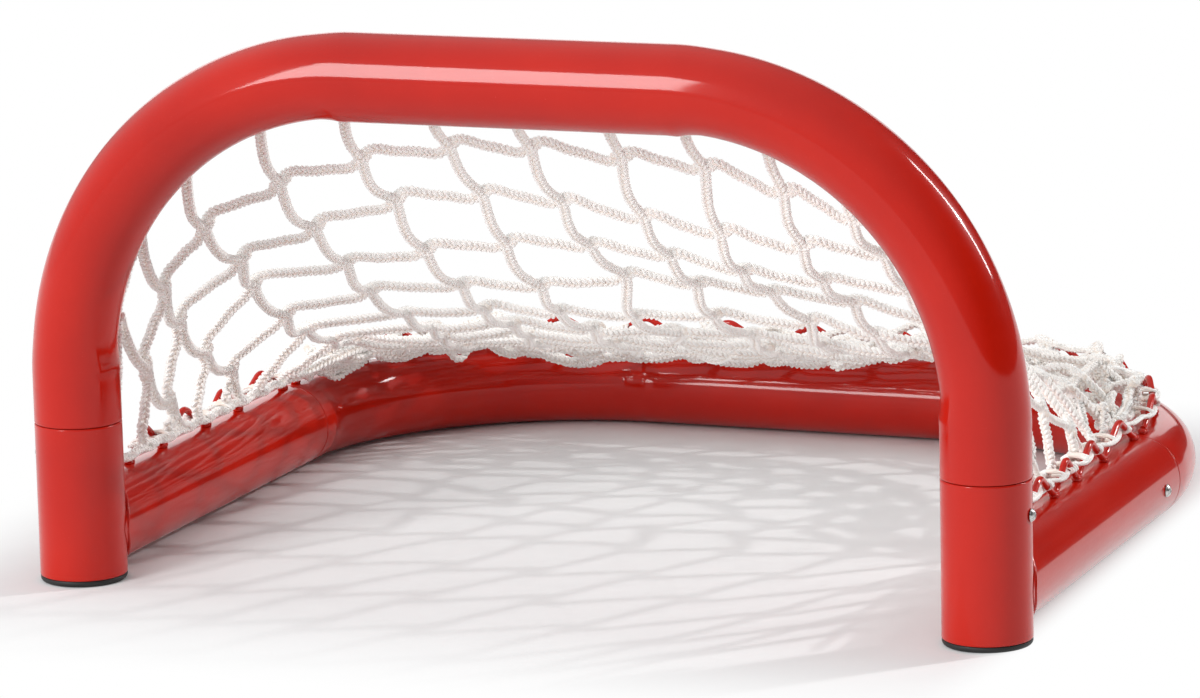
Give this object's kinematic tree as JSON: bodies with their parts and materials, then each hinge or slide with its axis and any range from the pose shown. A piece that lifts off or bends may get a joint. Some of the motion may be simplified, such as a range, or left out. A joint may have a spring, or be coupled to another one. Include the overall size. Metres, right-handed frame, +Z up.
{
  "type": "mini hockey goal",
  "caption": "Low hockey goal: a bent red tube arch on a U-shaped tube base, with a white cord net laced to toothed rods and falling from the arch to the rear bar.",
  "frame": {"origin": "on the floor, at the centre of the goal's outline in plan", "axes": "+Z up, the goal mouth faces -Y, +X runs from the left post to the right post as seen from the front"},
  "size_m": [0.606, 0.5368, 0.3264],
  "materials": {
    "red_paint": "gloss",
    "black_plastic": "matte",
    "bright_steel": "satin",
    "white_cord": "braided cord"
  },
  "bodies": {
    "root": {"arch_tube": "red_paint", "rear_bar": "red_paint", "left_lower_post": "red_paint", "left_side_tube": "red_paint", "left_lacing_rod": "red_paint", "left_foot_cap": "black_plastic", "left_post_screw": "bright_steel", "left_post_insert": "bright_steel", "left_base_screw": "bright_steel", "left_base_insert": "bright_steel", "right_lower_post": "red_paint", "right_side_tube": "red_paint", "right_lacing_rod": "red_paint", "right_foot_cap": "black_plastic", "right_post_screw": "bright_steel", "right_post_insert": "bright_steel", "right_base_screw": "bright_steel", "right_base_insert": "bright_steel", "rear_lacing_rod": "red_paint", "arch_lacing_rod": "red_paint", "base_lacing_cord": "white_cord", "arch_lacing_cord": "white_cord", "net": "white_cord"}
  },
  "joints": []
}
